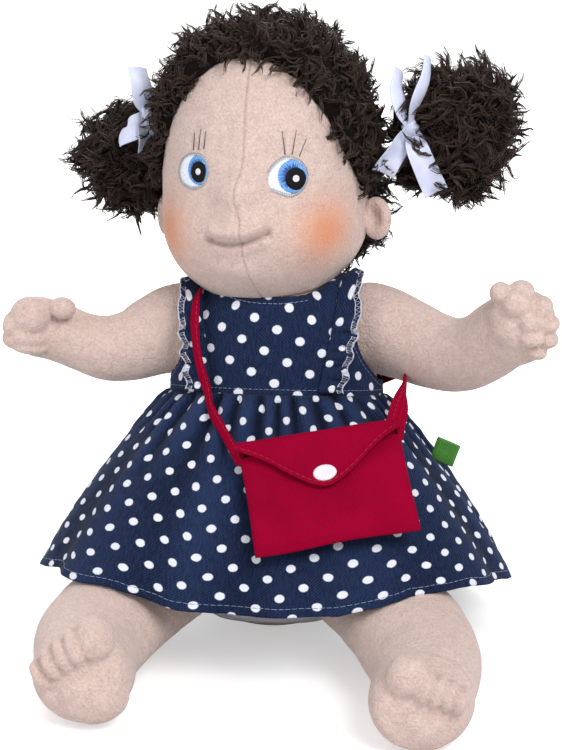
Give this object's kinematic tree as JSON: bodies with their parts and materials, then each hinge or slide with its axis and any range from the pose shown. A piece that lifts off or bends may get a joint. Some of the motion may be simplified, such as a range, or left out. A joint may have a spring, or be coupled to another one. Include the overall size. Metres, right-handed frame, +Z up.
{
  "type": "cloth doll",
  "caption": "Stuffed cloth doll, seated, with turning head, sprung arms, folding hips, a dress and a small bag.",
  "frame": {"origin": "on the flat that the doll sits on, under the middle of its body", "axes": "+Z up, the doll faces -Y, +X is the doll's own left"},
  "size_m": [0.2401, 0.2351, 0.27],
  "materials": {
    "velour": "short brushed pile",
    "filling": "loose fibre",
    "pellets": "round plastic pellets",
    "pile": "long curled pile",
    "satin": "woven satin ribbon",
    "elastic": "covered elastic",
    "denim": "twill with small white dots",
    "cotton": "plain weave",
    "label": "woven satin tape, bare",
    "tape": "hook and loop tape",
    "crimson": "smooth woven cloth",
    "felt": "satin stitch",
    "eye_rim": "satin stitch",
    "iris": "radial satin stitch",
    "pupil": "satin stitch",
    "lash": "stem stitch"
  },
  "bodies": {
    "root": {"body_skin": "velour", "body_filling": "filling", "pellet_pouch": "pellets", "underpants": "cotton", "bodice_front": "denim", "bodice_back_right": "denim", "bodice_back_left": "denim", "skirt": "denim", "frill_right": "denim", "frill_left": "denim", "side_label": "label", "closure_loop_tape": "tape", "closure_hook_tape": "tape", "bag_strap": "crimson"},
    "neck": {"neck_skin": "velour", "neck_filling": "filling"},
    "head": {"head_skin": "velour", "head_filling": "filling", "ear_right": "velour", "ear_left": "velour", "wig_cap": "pile", "eye_patch_right": "eye_rim", "iris_right": "iris", "pupil_right": "pupil", "eye_glint_right": "felt", "eye_patch_left": "eye_rim", "iris_left": "iris", "pupil_left": "pupil", "eye_glint_left": "felt", "lash_right_1": "lash", "lash_right_2": "lash", "lash_right_3": "lash", "lash_left_1": "lash", "lash_left_2": "lash", "lash_left_3": "lash"},
    "pigtail_right": {"pigtail_right": "pile", "hair_elastic_right": "elastic", "bow_right": "satin"},
    "pigtail_left": {"pigtail_left": "pile", "hair_elastic_left": "elastic", "bow_left": "satin"},
    "arm_right": {"arm_right_skin": "velour", "arm_right_filling": "filling"},
    "arm_left": {"arm_left_skin": "velour", "arm_left_filling": "filling"},
    "leg_right": {"leg_right_skin": "velour", "leg_right_filling": "filling"},
    "leg_left": {"leg_left_skin": "velour", "leg_left_filling": "filling"},
    "bag": {"bag_pouch": "crimson", "bag_loop_patch": "tape"},
    "flap": {"bag_flap": "crimson", "bag_dot": "felt", "bag_hook_patch": "tape"}
  },
  "joints": [
    {"name": "neck_turn", "type": "hinge", "parent": "root", "child": "neck", "pos_m": [-0.003, 0.019, 0.15], "axis": [0, 0, 1], "range_deg": [-25, 25], "stiffness_Nm_per_rad": 0.3},
    {"name": "head_nod", "type": "hinge", "parent": "neck", "child": "head", "pos_m": [-0.003, 0.019, 0.15], "axis": [1, 0, 0], "range_deg": [-8, 6], "stiffness_Nm_per_rad": 2},
    {"name": "pigtail_right_swing", "type": "hinge", "parent": "head", "child": "pigtail_right", "pos_m": [-0.05248, 0.04227, 0.22078], "axis": [0, 1, 0], "range_deg": [-10, 10], "stiffness_Nm_per_rad": 0.2},
    {"name": "pigtail_left_swing", "type": "hinge", "parent": "head", "child": "pigtail_left", "pos_m": [0.04944, 0.02708, 0.22138], "axis": [0, 1, 0], "range_deg": [-10, 10], "stiffness_Nm_per_rad": 0.2},
    {"name": "shoulder_right", "type": "hinge", "parent": "root", "child": "arm_right", "pos_m": [-0.037, 0.017, 0.131], "axis": [0, 1, 0], "range_deg": [-22, 25], "stiffness_Nm_per_rad": 0.5},
    {"name": "shoulder_left", "type": "hinge", "parent": "root", "child": "arm_left", "pos_m": [0.038, 0.016, 0.1315], "axis": [0, 1, 0], "range_deg": [-25, 22], "stiffness_Nm_per_rad": 0.5},
    {"name": "hip_right", "type": "hinge", "parent": "root", "child": "leg_right", "pos_m": [-0.035, -0.037, 0.022], "axis": [1, 0, 0], "range_deg": [0, 70]},
    {"name": "hip_left", "type": "hinge", "parent": "root", "child": "leg_left", "pos_m": [0.035, -0.038, 0.022], "axis": [1, 0, 0], "range_deg": [0, 70]},
    {"name": "bag_swing", "type": "hinge", "parent": "root", "child": "bag", "pos_m": [0.025, -0.0485, 0.101], "axis": [-0.9863, -0.1061, -0.1264], "range_deg": [0, 45]},
    {"name": "bag_flap_lift", "type": "hinge", "parent": "bag", "child": "flap", "pos_m": [0.02483, -0.04419, 0.09867], "axis": [-0.9863, -0.1061, -0.1264], "range_deg": [0, 60]}
  ]
}
